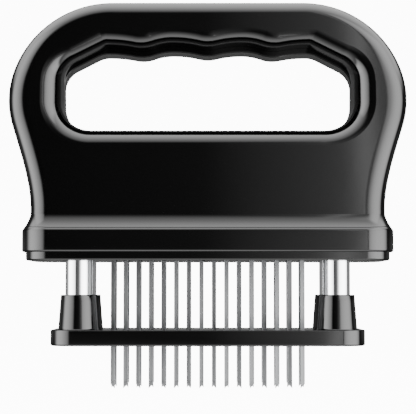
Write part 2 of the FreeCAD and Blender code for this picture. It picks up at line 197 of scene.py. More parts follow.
# ---- materials
class Socket:
    """A node's output in a material. Arithmetic on it adds Math nodes, and node() adds any other."""

    def __init__(self, tree, output=None):
        self.tree = tree
        self.output = output

    def node(self, kind, settings=None, inputs=None, output=0):
        """Adds a node, sets its settings, then gives its sockets their values or links."""
        made = self.tree.nodes.new(kind)
        for name, value in (settings or {}).items():
            if name == "stops":
                ramp = made.color_ramp.elements
                while len(ramp) < len(value):
                    ramp.new(1.0)
                for stop, (position, level) in zip(ramp, value):
                    stop.position = position
                    stop.color = (level, level, level, 1.0)
            else:
                setattr(made, name, value)
        for name, value in (inputs or {}).items():
            if isinstance(value, Socket):
                self.tree.links.new(value.output, made.inputs[name])
            else:
                made.inputs[name].default_value = value
        return Socket(self.tree, made.outputs[output] if made.outputs else None)

    def math(self, operation, *values):
        """A Math node on these values or sockets."""
        return self.node("ShaderNodeMath", {"operation": operation}, dict(enumerate(values)))

    def __add__(self, other):
        return self.math("ADD", self, other)

    __radd__ = __add__

    def __sub__(self, other):
        return self.math("SUBTRACT", self, other)

    def __rsub__(self, other):
        return self.math("SUBTRACT", other, self)

    def __mul__(self, other):
        return self.math("MULTIPLY", self, other)

    __rmul__ = __mul__

    def stretched(self, scale):
        """These coordinates with their three axes scaled."""
        return self.node("ShaderNodeMapping", inputs={"Vector": self, "Scale": scale})

    def noise(self, size, detail=2.0):
        """Soft noise from 0 to 1 on these coordinates, with features of about this size in metres."""
        inputs = {"Vector": self, "Scale": 1.0 / size, "Detail": detail}
        return self.node("ShaderNodeTexNoise", inputs=inputs)

    def ramp(self, *stops):
        """This value through a ramp of (position, level) stops."""
        return self.node("ShaderNodeValToRGB", {"stops": stops}, {0: self})

    def between(self, first, second):
        """A colour that is the first where this value is 0 and the second where it is 1."""
        inputs = {0: self, 6: (*first, 1.0), 7: (*second, 1.0)}
        return self.node("ShaderNodeMix", {"data_type": "RGBA"}, inputs, 2)

    def bump(self, depth, normal=None):
        """A normal from this height, where 1 stands this many metres proud."""
        inputs = {"Height": self, "Distance": depth, "Strength": 1.0}
        if normal is not None:
            inputs["Normal"] = normal
        return self.node("ShaderNodeBump", inputs=inputs)


def new_material(name):
    """An empty material, and the socket of its object coordinates, in metres."""
    material = bpy.data.materials.new(name)
    material.use_nodes = True
    material.node_tree.nodes.clear()
    start = Socket(material.node_tree)
    place = start.node("ShaderNodeTexCoord", output="Object")
    return material, place


def finish_with(place, **inputs):
    """Ends a material in a Principled shader. Its sockets are named in lower case."""
    named = {name.replace("_", " ").title().replace("Ior", "IOR"): value for name, value in inputs.items()}
    shader = place.node("ShaderNodeBsdfPrincipled", inputs=named)
    place.node("ShaderNodeOutputMaterial", inputs={"Surface": shader})


def glossy_black(name, settings, peel=1.0):
    """Black moulded plastic: a ripple and a fine tooth, as deep as peel says, and slow changes of gloss."""
    ripple_depth, tooth_depth = 0.006 * MM * peel, 0.0006 * MM * peel
    material, place = new_material(name)
    cloud = place.noise(18 * MM, detail=3.0)
    tooth = place.noise(0.35 * MM, detail=2.0)
    ripple = place.noise(6 * MM, detail=1.0)
    shade = tuple(settings.black)
    worn = tuple(1.6 * part for part in shade)
    finish_with(
        place,
        base_color=cloud.between(shade, worn),
        roughness=settings.roughness - 0.02 + 0.03 * cloud + 0.02 * tooth,
        normal=tooth.bump(tooth_depth, ripple.bump(ripple_depth)),
        ior=1.5,
    )
    return material


def matte_plastic(name, colour, tooth_size):
    """Self-coloured plastic with a dull, slightly waxy face."""
    material, place = new_material(name)
    cloud = place.noise(7 * MM, detail=3.0)
    tooth = place.noise(tooth_size, detail=3.0)
    darker = tuple(0.82 * part for part in colour)
    finish_with(
        place,
        base_color=cloud.between(darker, colour),
        roughness=0.42 + 0.12 * tooth,
        normal=tooth.bump(depth=0.006 * MM),
        ior=1.48,
    )
    return material


def ground_steel(name, colour, roughness, stretch, line_size, depth):
    """Bare steel with grinding or drawing lines, which run along the axis that stretch shortens."""
    material, place = new_material(name)
    lines = place.stretched(stretch).noise(line_size, detail=2.0)
    cloud = place.noise(5 * MM, detail=2.0)
    darker = tuple(0.78 * part for part in colour)
    finish_with(
        place,
        base_color=(0.55 * lines + 0.45 * cloud).between(darker, colour),
        metallic=1.0,
        roughness=roughness - 0.06 + 0.14 * lines + 0.05 * cloud,
        normal=lines.bump(depth),
    )
    return material


# ---- handle
class HandleSettings(bpy.types.PropertyGroup):
    crown_radius: FloatProperty(
        name="Crown radius", description="Radius of the handle's upper shoulders",
        default=40.4 * MM, min=30 * MM, max=60 * MM, unit="LENGTH")
    cheek_radius: FloatProperty(
        name="Cheek radius", description="Radius of the handle's widest part",
        default=34.2 * MM, min=15 * MM, max=40 * MM, unit="LENGTH")
    crown_rim: FloatProperty(
        name="Crown rim", description="Rounding of the outer rim along the crown",
        default=5.0 * MM, min=2 * MM, max=9 * MM, unit="LENGTH")
    side_rim: FloatProperty(
        name="Side rim", description="Rounding of the outer rim along the sides and the neck",
        default=6.6 * MM, min=2 * MM, max=9 * MM, unit="LENGTH")
    opening_rim: FloatProperty(
        name="Opening rim", description="Rounding of the rim round the hand opening",
        default=6.4 * MM, min=2 * MM, max=9 * MM, unit="LENGTH")
    bar_rim: FloatProperty(
        name="Bar rim", description="Rounding of the opening's rim along the underside of the bar",
        default=5.0 * MM, min=2 * MM, max=9 * MM, unit="LENGTH")
    front_lift: FloatProperty(
        name="Front lift", description="How much the opening's top is raised in the front shell",
        default=2.7 * MM, min=0.0, max=4 * MM, unit="LENGTH")
    rear_lift: FloatProperty(
        name="Rear lift", description="How much the opening's top is raised in the rear shell",
        default=0.3 * MM, min=0.0, max=4 * MM, unit="LENGTH")
    draft: FloatProperty(
        name="Opening draft", description="How much the hand opening widens from its middle to each mouth",
        default=0.3 * MM, min=0.0, max=3 * MM, unit="LENGTH")
    groove: FloatProperty(
        name="Parting groove", description="Depth and half the width of the fine groove between the shells",
        default=0.4 * MM, min=0.02 * MM, max=0.8 * MM, unit="LENGTH")
    black: FloatVectorProperty(
        name="Black", description="Colour of the moulded plastic",
        default=(0.0012, 0.0012, 0.0013), min=0.0, max=1.0, subtype="COLOR")
    roughness: FloatProperty(
        name="Roughness", description="How dull the moulded plastic is",
        default=0.09, min=0.02, max=1.0, subtype="FACTOR")


# the handle's outline and its hand opening: lengths in metres, angles in degrees
HALF_WIDTH = 77.0 * MM
NECK_HALF_WIDTH = 67.8 * MM
NECK_HALF_DEPTH = 22.2 * MM
NECK_LEVEL = 66.7 * MM
LEAN = 0.09005
CROWN_LEVEL = 149.65 * MM
RIM_SIDE_LEVEL = 125.0 * MM
CROWN_ANGLE = 24.3
CHEEK_ANGLE = 16.9
WAIST_LEVEL = 68.6 * MM
WAIST_EASE = 0.31
GRIP_FOOT_LEVEL = 57.2 * MM
GRIP_FOOT_CORNER = 9.0 * MM
FLOOR_LEVEL = 99.4 * MM
OPENING_HALF_WIDTH = 56.5 * MM
RIDGES_AND_SCALLOPS = ((0.0, 130.0), (13.5, 131.6), (25.9, 129.5), (39.2, 130.8))
RIDGE_RADIUS = 15.0 * MM
SHOULDER_LEVEL = 123.2 * MM
SHOULDER_ANGLE = 26.9
SHOULDER_CORNER = 9.1 * MM
SHOULDER_LIFT_SHARE = 0.6
FLOOR_CORNER = 11.4 * MM

# the rims: how much rounder the opening's is on its side walls, the levels about the shoulder between which
# the bar's rim takes over, and the wider arcs that follow a rim, each as the angle it starts at and a radius
SIDE_RIM_EXTRA = 1.6 * MM
BAR_RIM_START = SHOULDER_LEVEL - 6 * MM
BAR_RIM_END = SHOULDER_LEVEL + 4 * MM
OUTER_EASING = ((3.5, 40 * MM),)
OPENING_EASING = ((15.5, 30 * MM), (12.5, 2 * MM))

# the parting groove's section: how far in and how far from the parting plane, in groove depths
GROOVE_SECTION = ((1.0, 0.0), (1.0, 0.7), (0.0, 1.0), (0.0, 1.5))

# points near the outer outline, and near the points of the opening that they are joined to, in millimetres
PARTNERS = (
    ((0, 150.15), (0, 130)), ((36, 150.15), (39.2, 130.8)), ((64, 139), (51.5, 125)),
    ((74, 126), (56.3, 119)), ((77.2, 110), (56.85, 112)), ((75.6, 100), (56.3, 107)),
    ((71, 84), (52, 101.5)), ((67.8, 68.6), (44, 99.6)), ((58.8, 57.2), (37, 99.6)),
    ((0, 57.2), (0, 99.6)))

# the rows across the face, as shares of the way, and how many points or rows the other stretches have
FACE_SHARES = (0.01, 0.05, 0.3, 0.6, 0.95, 0.99)
RUN_POINTS = 160
LOOP_POINTS = 321
RIM_ROWS = 17
EASING_ROWS = 5
CORNER_POINTS = 25
NEAR_CORNER_POINTS = 5
MIDDLE_POINTS = 13

# the foot that the handle stands on. The fine line's share and the lip's are of the way up the flare, past
# the flange's rounded edge.
FOOT_LEVEL = 52.4 * MM
FLANGE_HALF_WIDTH = 71.1 * MM
FLANGE_HALF_DEPTH = 25.5 * MM
FLANGE_CORNER = 11.0 * MM
FLANGE_EDGE = 0.9 * MM
FLARE_HEIGHT = 6.0 * MM
FLARE_BOW = 0.38 * MM
CREASE_EDGE = 0.8 * MM
LINE_DEPTH = 0.16 * MM
LINE_SHARE = 0.03
LIP_SHARE = 0.05
TUCK_DEPTH = 1.5 * MM
TUCK_RISE = 0.1 * MM
EDGE_ROWS = 9
CREASE_ROWS = 13
FLARE_ROWS = 21


def arc_run(x, z, radius, first, last, facing=1):
    """Points along an arc by its centre and angles in degrees, and the way each faces.

    They face away from the centre, or toward it where facing is -1.
    """
    angle = np.radians(np.linspace(first, last, RUN_POINTS))
    way = np.stack([np.cos(angle), np.sin(angle)], axis=-1)
    return np.array([x, z]) + radius * way, facing * way


def straight_run(first, last, way):
    """Points along a straight line, which all face the same way."""
    share = np.linspace(0, 1, RUN_POINTS)[:, None]
    points = np.asarray(first) * (1 - share) + np.asarray(last) * share
    return points, np.broadcast_to(np.asarray(way, dtype=float), points.shape)


def eased_run(first, leaving, last, arriving, ease):
    """A cubic Bezier curve that leaves and arrives in the given directions and faces left of its way.

    Its two handles are as long as ease times the distance between its ends.
    """
    reach = ease * math.dist(first, last)
    poles = np.array([
        first, np.add(first, np.multiply(leaving, reach)),
        np.subtract(last, np.multiply(arriving, reach)), last])
    share = np.linspace(0, 1, RUN_POINTS)[:, None]
    points = (
        (1 - share) ** 3 * poles[0] + 3 * share * (1 - share) ** 2 * poles[1]
        + 3 * share**2 * (1 - share) * poles[2] + share**3 * poles[3])
    along = np.gradient(points, axis=0)
    along /= np.linalg.norm(along, axis=1, keepdims=True)
    return points, np.stack([-along[:, 1], along[:, 0]], axis=-1)


def wave_runs(ridge, scallop):
    """The two arcs from a ridge to a scallop beside it, level at both ends."""
    run, rise = abs(scallop[0] - ridge[0]), scallop[1] - ridge[1]
    turn = 2 * math.atan2(rise, run)
    scallop_radius = run / math.sin(turn) - RIDGE_RADIUS
    side = 1 if scallop[0] > ridge[0] else -1
    degrees = side * math.degrees(turn)
    up = arc_run(ridge[0], ridge[1] + RIDGE_RADIUS, RIDGE_RADIUS, -90, -90 + degrees)
    over = arc_run(scallop[0], scallop[1] - scallop_radius, scallop_radius, 90 + degrees, 90, -1)
    if side > 0:
        return [up, over]
    return [(points[::-1], ways[::-1]) for points, ways in (over, up)]


def outer_runs(settings):
    """The right half of the handle's outline, from the middle of the crown to the middle of its foot."""
    crown, cheek = settings.crown_radius, settings.cheek_radius
    turned = math.radians(CROWN_ANGLE)
    cheek_x = HALF_WIDTH - cheek
    crown_x = cheek_x - (crown - cheek) * math.cos(turned)
    crown_z = CROWN_LEVEL - crown
    cheek_z = crown_z + (crown - cheek) * math.sin(turned)
    shoulder = arc_run(crown_x, crown_z, crown, 90, CROWN_ANGLE)
    side = arc_run(cheek_x, cheek_z, cheek, CROWN_ANGLE, -CHEEK_ANGLE)
    leaving = (-math.sin(math.radians(CHEEK_ANGLE)), -math.cos(math.radians(CHEEK_ANGLE)))
    waist = (NECK_HALF_WIDTH, WAIST_LEVEL)
    turn_x, turn_z = NECK_HALF_WIDTH - GRIP_FOOT_CORNER, GRIP_FOOT_LEVEL + GRIP_FOOT_CORNER
    return [
        straight_run((0, CROWN_LEVEL), (crown_x, CROWN_LEVEL), (0, 1)),
        shoulder,
        side,
        eased_run(side[0][-1], leaving, waist, (0, -1), WAIST_EASE),
        straight_run(waist, (NECK_HALF_WIDTH, turn_z), (1, 0)),
        arc_run(turn_x, turn_z, GRIP_FOOT_CORNER, 0, -90),
        straight_run((turn_x, GRIP_FOOT_LEVEL), (0, GRIP_FOOT_LEVEL), (0, -1)),
    ]


def opening_runs(raised):
    """The right half of the hand opening, from its middle ridge round to the middle of its floor.

    Its ridges and scallops are raised by the given height, and its shoulders by a share of it.
    """
    ridge, scallop, outer_ridge, outer_scallop = [
        (x * MM, z * MM + raised) for x, z in RIDGES_AND_SCALLOPS]
    slope = math.radians(SHOULDER_ANGLE)
    shoulder_level = SHOULDER_LEVEL + SHOULDER_LIFT_SHARE * raised
    drop = outer_scallop[1] - shoulder_level
    top_x = OPENING_HALF_WIDTH - drop / math.tan(slope)
    top_radius = (top_x - outer_scallop[0]) / math.tan(slope / 2)
    corner_side = SHOULDER_CORNER * math.tan((math.pi / 2 - slope) / 2)
    top = arc_run(
        outer_scallop[0], outer_scallop[1] - top_radius, top_radius, 90, 90 - SHOULDER_ANGLE, -1)
    corner = arc_run(
        OPENING_HALF_WIDTH - SHOULDER_CORNER, shoulder_level - corner_side, SHOULDER_CORNER,
        90 - SHOULDER_ANGLE, 0, -1)
    floor_x = OPENING_HALF_WIDTH - FLOOR_CORNER
    floor_corner = arc_run(floor_x, FLOOR_LEVEL + FLOOR_CORNER, FLOOR_CORNER, 0, -90, -1)
    downhill = (-math.sin(slope), -math.cos(slope))
    return (
        wave_runs(ridge, scallop) + wave_runs(outer_ridge, scallop)
        + wave_runs(outer_ridge, outer_scallop)
        + [
            top,
            straight_run(top[0][-1], corner[0][0], downhill),
            corner,
            straight_run(corner[0][-1], floor_corner[0][0], (-1, 0)),
            floor_corner,
            straight_run(floor_corner[0][-1], (0, FLOOR_LEVEL), (0, 1)),
        ])


def joined(runs):
    """Runs end to end: their points, the way they face, and the share of the length at each point."""
    points = np.concatenate([run[0] for run in runs])
    ways = np.concatenate([run[1] for run in runs])
    steps = np.linalg.norm(np.diff(points, axis=0), axis=1)
    length = np.concatenate([[0], np.cumsum(steps)])
    return points, ways, length / length[-1]


def sampled(curve, shares):
    """Points and facing ways of a joined curve at shares of its length."""
    points, ways, lengths = curve
    picked = [np.interp(shares, lengths, column) for column in (*points.T, *ways.T)]
    found = np.stack(picked[:2], axis=-1)
    way = np.stack(picked[2:], axis=-1)
    return found, way / np.linalg.norm(way, axis=1, keepdims=True)


def share_near(curve, x, z):
    """The share of a joined curve's length at its point nearest to a place."""
    points, _, lengths = curve
    return lengths[np.argmin(np.hypot(points[:, 0] - x, points[:, 1] - z))]


def whole_loop(points, ways):
    """A right half and its mirror image as one closed loop that passes both middles once."""
    flip = np.array([-1, 1])
    return (
        np.concatenate([points, (points * flip)[-2:0:-1]]),
        np.concatenate([ways, (ways * flip)[-2:0:-1]]))


def grip_skin(settings, side):
    """One half of the looped grip, a closed ring.

    Its points stand on a grid. One way runs round the outline, where each point of the hand opening has a
    partner on the outer outline. The other runs round the wall: out from the parting groove, over a rim,
    across the leaning face in straight lines, back over a second rim, and home to the groove. A rim is an
    arc of radius r, and on the side walls wider arcs carry it on into the face. Along the outer rim r grows
    from the crown to the sides. Along the opening it is least under the bar and most on the side walls,
    which also lean outward from the parting plane.
    """
    raised = settings.front_lift if side < 0 else settings.rear_lift
    outer, opening = joined(outer_runs(settings)), joined(opening_runs(raised))
    outer_shares = [share_near(outer, x * MM, z * MM) for (x, z), _ in PARTNERS]
    opening_shares = [share_near(opening, x * MM, z * MM) for _, (x, z) in PARTNERS]
    shares = np.linspace(0, 1, LOOP_POINTS)
    inner_loop = whole_loop(*sampled(opening, shares))
    outer_loop = whole_loop(*sampled(outer, np.interp(shares, opening_shares, outer_shares)))

    groove = settings.groove
    on_side = np.interp(outer_loop[0][:, 1], [RIM_SIDE_LEVEL, CROWN_LEVEL], [1.0, 0.0])
    outer_rim = settings.crown_rim + (settings.side_rim - settings.crown_rim) * on_side
    side_wall = inner_loop[1][:, 0] ** 2
    under_bar = np.interp(inner_loop[0][:, 1], [BAR_RIM_START, BAR_RIM_END], [0.0, 1.0])
    opening_rim = settings.opening_rim + (settings.bar_rim - settings.opening_rim) * under_bar
    opening_rim = opening_rim + SIDE_RIM_EXTRA * side_wall

    def row(loop, inset, lift):
        """A loop moved into the wall by inset and back from the leaning face by lift."""
        points, ways = loop
        moved = points - inset[:, None] * ways
        depth = NECK_HALF_DEPTH - LEAN * (moved[:, 1] - NECK_LEVEL) - lift
        return np.stack([moved[:, 0], side * depth, moved[:, 1]], axis=-1)

    def flat_row(loop, inset, depth):
        """A loop moved into the wall by inset, at one distance from the parting plane."""
        points, ways = loop
        moved = points - inset * ways
        return np.stack([moved[:, 0], np.full(len(moved), side * depth), moved[:, 1]], axis=-1)

    def half_wall(loop, rim, lean_out, easing):
        """Rows from the parting line over the wall and the rim's arc, then over wider arcs to the face."""
        rows = [flat_row(loop, inset * groove, depth * groove) for inset, depth in GROOVE_SECTION]
        sideways = loop[1][:, 0] ** 2
        starts = [math.radians(angle) * sideways for angle, _ in easing] + [0.0 * sideways]
        arcs = list(zip(starts, starts[1:], [radius for _, radius in easing]))
        sunk = sum(radius * (np.cos(end) - np.cos(start)) for start, end, radius in arcs)
        inset = lean_out + rim
        for angle in np.linspace(math.pi / 2, starts[0], RIM_ROWS):
            lift = rim * (np.cos(starts[0]) - np.cos(angle)) + sunk
            rows.append(row(loop, inset - rim * np.sin(angle), lift))
        inset = inset - rim * np.sin(starts[0])
        for start, end, radius in arcs:
            for angle in np.linspace(start, end, EASING_ROWS)[1:]:
                across = radius * (np.sin(start) - np.sin(angle))
                lift = sunk - radius * (np.cos(angle) - np.cos(start))
                rows.append(row(loop, inset + across, lift))
            inset = inset + radius * (np.sin(start) - np.sin(end))
            sunk = sunk - radius * (np.cos(end) - np.cos(start))
        return rows

    outside = half_wall(outer_loop, outer_rim, np.zeros(len(outer_rim)), OUTER_EASING)
    inside = half_wall(inner_loop, opening_rim, settings.draft * side_wall, OPENING_EASING)
    face = [outside[-1] * (1 - share) + inside[-1] * share for share in FACE_SHARES]
    return closed_skin(np.stack(outside + face + inside[::-1]), wrap_rows=True)


def flange_reach(points, ways):
    """How far each point lies from the flange's outline, a rounded rectangle, along the way it faces."""
    reach = np.full(len(points), np.inf)
    for axis, half in enumerate((FLANGE_HALF_WIDTH, FLANGE_HALF_DEPTH)):
        heading = np.maximum(ways[:, axis], 1e-9)
        reach = np.minimum(reach, (half - points[:, axis]) / heading)
    hit = points + reach[:, None] * ways
    centre = np.array([FLANGE_HALF_WIDTH - FLANGE_CORNER, FLANGE_HALF_DEPTH - FLANGE_CORNER])
    in_corner = np.all(hit > centre, axis=1)
    along = ((points - centre) * ways).sum(axis=1)
    apart = ((points - centre) ** 2).sum(axis=1) - FLANGE_CORNER**2
    round_reach = np.sqrt(np.maximum(along**2 - apart, 0)) - along
    return np.where(in_corner, round_reach, reach)


def neck_path(settings, side):
    """Half a rounded rectangle at the neck, from one end of the parting plane round to the other.

    Returns its points, the level way that each faces, and the flare's width there.
    """
    corner_radius, groove = settings.side_rim, settings.groove
    near_corner = 2 * MM
    turn = np.linspace(0, math.pi / 2, CORNER_POINTS)
    straight_x = NECK_HALF_WIDTH - corner_radius
    straight_y = NECK_HALF_DEPTH - corner_radius
    corner_way = np.stack([np.cos(turn), np.sin(turn)], -1)
    corner = np.array([straight_x, straight_y]) + corner_radius * corner_way
    middle = np.concatenate([
        np.linspace(straight_x, straight_x - near_corner, NEAR_CORNER_POINTS)[1:],
        np.linspace(straight_x - near_corner, 0, MIDDLE_POINTS)[1:]])
    front = np.stack([middle, np.full(len(middle), NECK_HALF_DEPTH)], -1)
    end_y = np.concatenate([
        [depth * groove for _, depth in GROOVE_SECTION], [straight_y / 2],
        np.linspace(straight_y - near_corner, straight_y, NEAR_CORNER_POINTS)[:-1]])
    ends = np.stack([np.full(len(end_y), NECK_HALF_WIDTH), end_y], -1)
    in_groove = sum(inset > 0 for inset, _ in GROOVE_SECTION)
    ends[:in_groove, 0] -= groove
    points = np.concatenate([ends, corner, front])
    ways = np.concatenate([
        np.broadcast_to([1.0, 0.0], ends.shape), corner_way, np.broadcast_to([0.0, 1.0], front.shape)])
    widths = flange_reach(points, ways)
    widths[:in_groove] = widths[in_groove]
    flip = np.array([-1, 1])
    points = np.concatenate([points, (points * flip)[-2::-1]])
    ways = np.concatenate([ways, (ways * flip)[-2::-1]])
    widths = np.concatenate([widths, widths[-2::-1]])
    facing = np.array([1, side])
    return points * facing, ways * facing, widths


def flare_point(width, crease_level, share):
    """How far out and how high the hollow flare is at a share of the way from its edge up to the neck.

    It is the straight line between the two, bowed inward by a parabola.
    """
    bow = 4 * FLARE_BOW * share * (1 - share)
    height = NECK_LEVEL - crease_level
    slant = np.hypot(width, height)
    outward = width * (1 - share) - bow * height / slant
    level = crease_level + height * share - bow * width / slant
    return outward, level


def foot_skin(settings, side):
    """The flared foot of one shell: an upright profile carried round half the neck's outline.

    The profile rises from the rounded lower edge of the flange, up its wall, over a small rounded edge, into
    a fine line and in along a hollow parabola, which ends where it touches the leaning face of the grip. A
    last row is tucked inside the grip.
    """
    points, ways, width = neck_path(settings, side)
    rows = []

    def add(outward, level):
        """Adds the neck's outline, moved out and set at a level."""
        outward = np.broadcast_to(outward, width.shape)
        level = np.broadcast_to(level, width.shape)
        moved = points + outward[:, None] * ways
        rows.append(np.stack([moved[:, 0], moved[:, 1], level], axis=-1))

    for angle in np.radians(np.linspace(0, 90, EDGE_ROWS)):
        add(width - FLANGE_EDGE * (1 - math.sin(angle)), FOOT_LEVEL + FLANGE_EDGE * (1 - math.cos(angle)))
    crease_level = NECK_LEVEL - FLARE_HEIGHT * np.sqrt(width / width[-1])
    edge_share = CREASE_EDGE / FLARE_HEIGHT
    landing = flare_point(width, crease_level, edge_share)
    for share in np.linspace(0, 1, CREASE_ROWS):
        rising, turning, arriving = (1 - share) ** 2, 2 * share * (1 - share), share**2
        add(
            (rising + turning) * width + arriving * landing[0],
            rising * (crease_level - CREASE_EDGE) + turning * crease_level + arriving * landing[1])
    line_place = flare_point(width, crease_level, edge_share + LINE_SHARE)
    add(line_place[0] - LINE_DEPTH, line_place[1] - LINE_DEPTH)
    for share in np.linspace(edge_share + LIP_SHARE, 1, FLARE_ROWS):
        add(*flare_point(width, crease_level, share))
    add(-TUCK_DEPTH, NECK_LEVEL + TUCK_RISE)
    return closed_skin(np.stack(rows))


class TENDERIZER_OT_handle(bpy.types.Operator):
    """Makes the two glossy shells of the handle, each a looped grip on a flared foot"""

    bl_idname = "tenderizer.handle"
    bl_label = "Handle"

    def execute(self, context):
        settings = context.scene.tenderizer_handle
        material = glossy_black("handle_gloss", settings)
        for name, side in (("front", -1), ("rear", 1)):
            skins = [grip_skin(settings, side), foot_skin(settings, side)]
            mesh = make_mesh(f"handle_{name}", skins, smooth_angle=40.0)
            add_piece(
                f"handle_{name}", mesh, "handle", material, [f"handle_{name}_shell"])
        return {"FINISHED"}


# ---- cover, screws and inner pieces
class CoverSettings(bpy.types.PropertyGroup):
    black: FloatVectorProperty(
        name="Black", description="Colour of the bottom cover",
        default=(0.0015, 0.0015, 0.0016), min=0.0, max=1.0, subtype="COLOR")
    roughness: FloatProperty(
        name="Roughness", description="How dull the bottom cover is",
        default=0.12, min=0.02, max=1.0, subtype="FACTOR")


class TENDERIZER_OT_cover(bpy.types.Operator):
    """Dresses the slotted bottom cover and the six screws that hold it"""

    bl_idname = "tenderizer.cover"
    bl_label = "Bottom cover"

    def execute(self, context):
        settings = context.scene.tenderizer_cover
        cover = glossy_black("cover_gloss", settings)
        add_piece(
            "cover_plate", merged_copy("bottom_cover"), "handle", cover, ["bottom_cover"])
        steel = ground_steel(
            "screw_steel", colour=(0.62, 0.62, 0.63), roughness=0.34,
            stretch=(1.0, 1.0, 1.0), line_size=0.5 * MM, depth=0.004 * MM)
        add_piece(
            "cover_screw_set", merged_copy("cover_screws"), "handle", steel, ["cover_screws"])
        return {"FINISHED"}


class TENDERIZER_OT_carrier(bpy.types.Operator):
    """Gives the pieces inside the handle their finish: blade carrier, clamp plate, its screws, and collars"""

    bl_idname = "tenderizer.carrier"
    bl_label = "Inner pieces"

    def execute(self, context):
        dark = matte_plastic("inner_plastic", colour=(0.035, 0.035, 0.037), tooth_size=0.6 * MM)
        plate = ground_steel(
            "clamp_steel", colour=(0.56, 0.56, 0.57), roughness=0.36,
            stretch=(0.05, 1.0, 1.0), line_size=0.4 * MM, depth=0.004 * MM)
        bright = ground_steel(
            "collar_steel", colour=(0.66, 0.66, 0.67), roughness=0.28,
            stretch=(1.0, 1.0, 0.2), line_size=0.4 * MM, depth=0.003 * MM)
        finishes = {"blade_carrier": dark, "clamp_plate": plate, "clamp_screws": bright}
        finishes.update({f"post_collar_{corner}": bright for corner in CORNERS})
        for node, material in finishes.items():
            mesh = frame["nodes"][node].data
            mesh.materials.clear()
            mesh.materials.append(material)
        return {"FINISHED"}


# ---- blades
class BladeSettings(bpy.types.PropertyGroup):
    chamfer: FloatProperty(
        name="Edge break", description="Width of the broken edges along each blade",
        default=0.1 * MM, min=0.02 * MM, max=0.3 * MM, unit="LENGTH")
    bevel_height: FloatProperty(
        name="Bevel height", description="Height over which the tip is ground thin",
        default=1.5 * MM, min=0.5 * MM, max=4 * MM, unit="LENGTH")
    edge_share: FloatProperty(
        name="Edge thickness", description="Thickness left at the cutting edge, as a share of the blade's",
        default=0.16, min=0.02, max=1.0, subtype="FACTOR")
    steel: FloatVectorProperty(
        name="Steel", description="Colour of the ground blade steel",
        default=(0.24, 0.245, 0.25), min=0.0, max=1.0, subtype="COLOR")
    roughness: FloatProperty(
        name="Roughness", description="How dull the flat sides of the blades are",
        default=0.3, min=0.02, max=1.0, subtype="FACTOR")


# the blades, and how much their tips rise for each length across
BLADE_HALF_WIDTH = 0.85 * MM
BLADE_HALF_THICKNESS = 0.425 * MM
BLADE_PITCH = 4.9 * MM
BLADES_IN_ROW = 16
HEAD_HALF_WIDTH = 1.5 * MM
HEAD_HEIGHT = 1.5 * MM
TIP_SLOPE = 1.0
TIP_FINISH_HEIGHT = 3.2 * MM


def blade_row_skins(settings, row, y, top):
    """A row of flat blades, each a broken-edged section carried up from a slanting tip.

    The tip's level rises by the slope times the distance from the point's side. The section is thin at the
    tip, full where the ground bevel ends, and widens to a T at the head.
    """
    across, thick, cut = BLADE_HALF_WIDTH, BLADE_HALF_THICKNESS, settings.chamfer
    section = np.array([
        (across, cut - thick), (across, thick - cut), (across - cut, thick), (cut - across, thick),
        (-across, thick - cut), (-across, cut - thick), (cut - across, -thick), (across - cut, -thick)])
    number = np.arange(BLADES_IN_ROW)
    middle_x = (number - (BLADES_IN_ROW - 1) / 2) * BLADE_PITCH
    low_side = np.where((number + row) % 2 == 0, 1.0, -1.0)
    tip = (across - low_side[:, None] * section[:, 0]) * TIP_SLOPE
    neck = top - HEAD_HEIGHT
    head = HEAD_HALF_WIDTH / BLADE_HALF_WIDTH
    rows = [
        (1.0, settings.edge_share, tip),
        (1.0, 1.0, tip + settings.bevel_height),
        (1.0, 1.0, np.full_like(tip, neck)),
        (head, 1.0, np.full_like(tip, neck)),
        (head, 1.0, np.full_like(tip, top)),
    ]
    skins = []
    for blade in number:
        grid = np.stack([
            np.stack([
                middle_x[blade] + wide * section[:, 0], y + deep * section[:, 1], level[blade]], axis=-1)
            for wide, deep, level in rows])
        skins.append(closed_skin(grid))
    return skins


def blade_steel(settings):
    """Stainless steel ground lengthwise, brighter and finer where the tips were ground last."""
    material, place = new_material("blade_steel")
    long_lines = place.stretched((1.0, 1.0, 0.03)).noise(0.12 * MM, detail=2.0)
    cross_lines = place.stretched((0.08, 1.0, 1.0)).noise(0.10 * MM, detail=2.0)
    level = place.node("ShaderNodeSeparateXYZ", inputs={0: place}, output=2)
    near_tip = (level * (1 / TIP_FINISH_HEIGHT)).ramp((0.80, 1.0), (1.0, 0.0))
    lines = long_lines * (1 - near_tip) + cross_lines * near_tip
    smears = place.stretched((1.0, 1.0, 0.35)).noise(4 * MM, detail=3.0)
    steel = tuple(settings.steel)
    darker = tuple(0.72 * part for part in steel)
    finish_with(
        place,
        base_color=(0.5 * lines + 0.5 * smears).between(darker, steel),
        metallic=1.0,
        roughness=settings.roughness - 0.06 + 0.14 * smears + 0.08 * lines - 0.12 * near_tip,
        normal=lines.bump(depth=0.0015 * MM),
    )
    return material


class TENDERIZER_OT_blades(bpy.types.Operator):
    """Makes the three rows of blades with their ground chisel tips"""

    bl_idname = "tenderizer.blades"
    bl_label = "Blades"

    def execute(self, context):
        settings = context.scene.tenderizer_blades
        material = blade_steel(settings)
        for row, name in enumerate(("front", "middle", "rear")):
            node = f"blades_{name}_row"
            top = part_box(node)[1].z
            skins = blade_row_skins(settings, row, body_axis(node)[1], top)
            mesh = make_mesh(f"blade_row_{name}", skins, smooth_angle=20.0)
            add_piece(f"blade_row_{name}", mesh, "handle", material, [node])
        return {"FINISHED"}


# ---- guard
class GuardSettings(bpy.types.PropertyGroup):
    skirt: FloatProperty(
        name="Tower fillet", description="Radius of the fillet where each tower meets the plate",
        default=0.6 * MM, min=0.1 * MM, max=2 * MM, unit="LENGTH")
    black: FloatVectorProperty(
        name="Black", description="Colour of the guard",
        default=(0.0012, 0.0012, 0.0013), min=0.0, max=1.0, subtype="COLOR")
    roughness: FloatProperty(
        name="Roughness", description="How dull the guard is",
        default=0.08, min=0.02, max=1.0, subtype="FACTOR")


